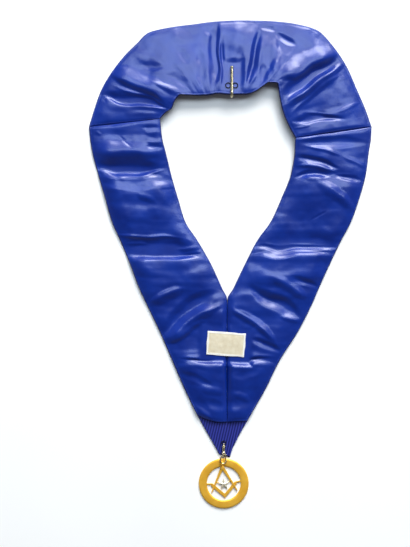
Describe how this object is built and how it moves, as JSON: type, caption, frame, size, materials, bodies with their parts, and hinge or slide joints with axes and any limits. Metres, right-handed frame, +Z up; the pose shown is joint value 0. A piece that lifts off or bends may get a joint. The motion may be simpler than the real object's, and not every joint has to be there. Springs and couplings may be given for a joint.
{
  "type": "order collar with pendant jewel",
  "caption": "V-shaped order collar of blue ribbon with a folded glossy lining, lying reverse side up, with a swivel clip and round pierced gilt jewel at its point.",
  "frame": {"origin": "centre of the bounding box at the surface it lies on", "axes": "+Z up from the surface, +Y from the point of the collar towards the back of the neck, +X to the right in the picture"},
  "size_m": [0.3828, 0.6605, 0.0219],
  "materials": {
    "ribbon_cloth": "fine ribbed ribbon with a soft sheen",
    "leathercloth": "glossy blue coated cloth pulled into folds",
    "label_cloth": "smooth woven cream label cloth",
    "pale_gilt": "worn pale gilt over metal",
    "black_wire": "black enamelled wire",
    "gilt_jewel": "polished yellow gilt"
  },
  "bodies": {
    "collar": {"neck_ribbon": "ribbon_cloth", "left_ribbon": "ribbon_cloth", "right_ribbon": "ribbon_cloth", "tip_ribbon": "ribbon_cloth", "neck_lining": "leathercloth", "left_lining": "leathercloth", "right_lining": "leathercloth", "label": "label_cloth", "neck_bar": "pale_gilt", "neck_eye": "black_wire", "tip_loop": "black_wire", "clip_eye": "pale_gilt", "jewel": "gilt_jewel"},
    "hook": {"clip_hook": "pale_gilt"},
    "lever": {"clip_lever": "pale_gilt"}
  },
  "joints": [
    {"name": "hook_turn", "type": "hinge", "parent": "collar", "child": "hook", "pos_m": [-0.0088, -0.2472, 0.0048], "axis": [0, 1, 0], "range_deg": [-15, 15]},
    {"name": "lever_open", "type": "hinge", "parent": "hook", "child": "lever", "pos_m": [-0.007, -0.259, 0.0048], "axis": [0, 0, -1], "range_deg": [0, 28], "stiffness_Nm_per_rad": 0.002, "springref_deg": -11.46}
  ]
}
